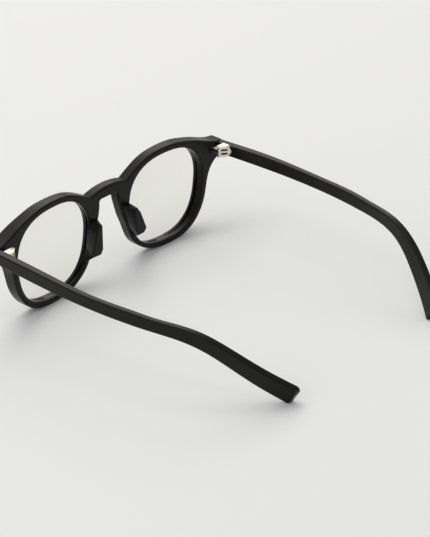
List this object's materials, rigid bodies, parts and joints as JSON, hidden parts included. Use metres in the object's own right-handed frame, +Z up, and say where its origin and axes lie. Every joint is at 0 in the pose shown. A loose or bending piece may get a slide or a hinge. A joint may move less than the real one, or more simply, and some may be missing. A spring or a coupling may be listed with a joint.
{
  "type": "eyeglasses",
  "caption": "Full-rim eyeglasses in thick black acetate with rounded square lenses, nose pads and folding temples on barrel hinges",
  "frame": {"origin": "middle of the bounding box, on the table", "axes": "+Z up; +X to the wearer's left; temples run towards +Y, the outside of the front faces -Y"},
  "size_m": [0.1428, 0.1512, 0.0476],
  "materials": {
    "acetate": "satin black",
    "lens": "clear",
    "hinge_metal": "champagne plated",
    "core_metal": "plain wire"
  },
  "bodies": {
    "front": {"front_frame": "acetate", "nose_pad_left": "acetate", "nose_pad_right": "acetate", "lens_left": "lens", "lens_right": "lens", "front_hinge_leaf_left": "hinge_metal", "front_hinge_leaf_right": "hinge_metal"},
    "left_arm": {"temple_left": "acetate", "temple_hinge_leaf_left": "hinge_metal", "hinge_screw_left": "hinge_metal", "core_wire_left": "core_metal"},
    "right_arm": {"temple_right": "acetate", "temple_hinge_leaf_right": "hinge_metal", "hinge_screw_right": "hinge_metal", "core_wire_right": "core_metal"}
  },
  "joints": [
    {"name": "left_hinge", "type": "hinge", "parent": "front", "child": "left_arm", "pos_m": [0.063, -0.06186, 0.036], "axis": [0, 0.0712, 0.9975], "range_deg": [0, 85]},
    {"name": "right_hinge", "type": "hinge", "parent": "front", "child": "right_arm", "pos_m": [-0.063, -0.06186, 0.036], "axis": [0, -0.0712, -0.9975], "range_deg": [0, 80]}
  ]
}
